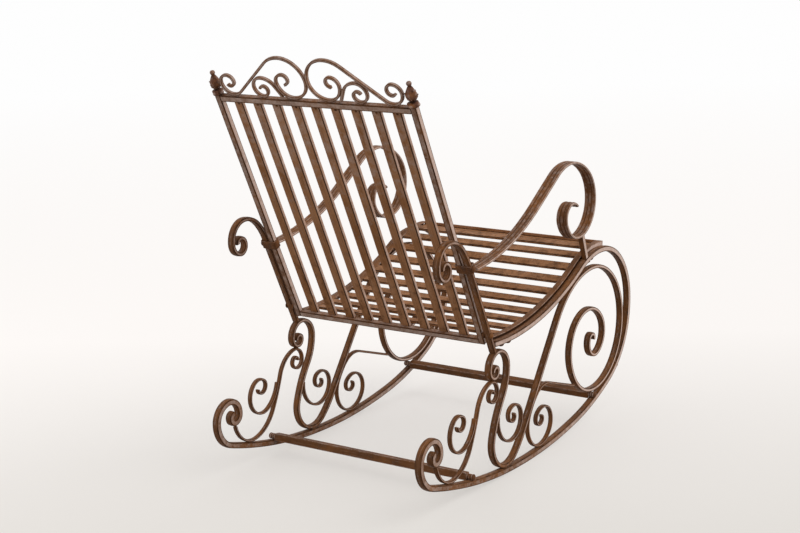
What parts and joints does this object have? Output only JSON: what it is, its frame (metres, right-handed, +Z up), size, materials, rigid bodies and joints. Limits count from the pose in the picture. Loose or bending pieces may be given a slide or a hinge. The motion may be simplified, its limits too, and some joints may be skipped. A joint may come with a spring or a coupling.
{
  "type": "rocking chair",
  "caption": "Garden rocking chair of bent iron bar with scrolled side frames on curved runners, a slatted seat, a leaning slatted back and scrolled crest.",
  "frame": {"origin": "on the floor under the middle of the chair's outline", "axes": "+X to the sitter's left, +Y to the back, +Z up"},
  "size_m": [0.561, 0.9822, 0.9454],
  "materials": {
    "frame_bar": "antique brown enamel, worn lighter on the edges",
    "scroll_bar": "antique brown enamel, worn lighter on the edges",
    "slat_strip": "antique brown enamel, brushed along the strip",
    "finial_casting": "antique brown over a cast surface, dark in the hollows",
    "fastener": "dark antique brown"
  },
  "bodies": {
    "root": {"arm_left": "frame_bar", "arm_post_left": "frame_bar", "arm_post_right": "frame_bar", "arm_right": "frame_bar", "back_bottom_rail": "frame_bar", "back_post_left": "frame_bar", "back_post_right": "frame_bar", "back_slat_1": "slat_strip", "back_slat_2": "slat_strip", "back_slat_3": "slat_strip", "back_slat_4": "slat_strip", "back_slat_5": "slat_strip", "back_slat_6": "slat_strip", "back_slat_7": "slat_strip", "back_slat_8": "slat_strip", "back_slat_9": "slat_strip", "back_stile_left": "frame_bar", "back_stile_right": "frame_bar", "back_top_rail": "frame_bar", "collar_left": "frame_bar", "collar_right": "frame_bar", "crest_scroll_left": "scroll_bar", "crest_scroll_right": "scroll_bar", "crest_small_scroll_left": "scroll_bar", "crest_small_scroll_right": "scroll_bar", "finial_left": "finial_casting", "finial_right": "finial_casting", "frame_bolts": "fastener", "front_c_scroll_left": "scroll_bar", "front_c_scroll_right": "scroll_bar", "front_stretcher": "frame_bar", "inner_c_scroll_left": "scroll_bar", "inner_c_scroll_right": "scroll_bar", "leg_bar_left": "frame_bar", "leg_bar_right": "frame_bar", "rear_c_scroll_left": "scroll_bar", "rear_c_scroll_right": "scroll_bar", "rear_s_scroll_left": "scroll_bar", "rear_s_scroll_right": "scroll_bar", "rear_stretcher": "frame_bar", "runner_bar_left": "frame_bar", "runner_bar_right": "frame_bar", "seat_bolts": "fastener", "seat_front_rail": "frame_bar", "seat_rail_left": "frame_bar", "seat_rail_right": "frame_bar", "seat_slat_1": "slat_strip", "seat_slat_10": "slat_strip", "seat_slat_2": "slat_strip", "seat_slat_3": "slat_strip", "seat_slat_4": "slat_strip", "seat_slat_5": "slat_strip", "seat_slat_6": "slat_strip", "seat_slat_7": "slat_strip", "seat_slat_8": "slat_strip", "seat_slat_9": "slat_strip", "slat_rivets": "fastener", "spacers": "fastener", "stretcher_bolts": "fastener", "stretcher_sleeves": "fastener"}
  },
  "joints": []
}
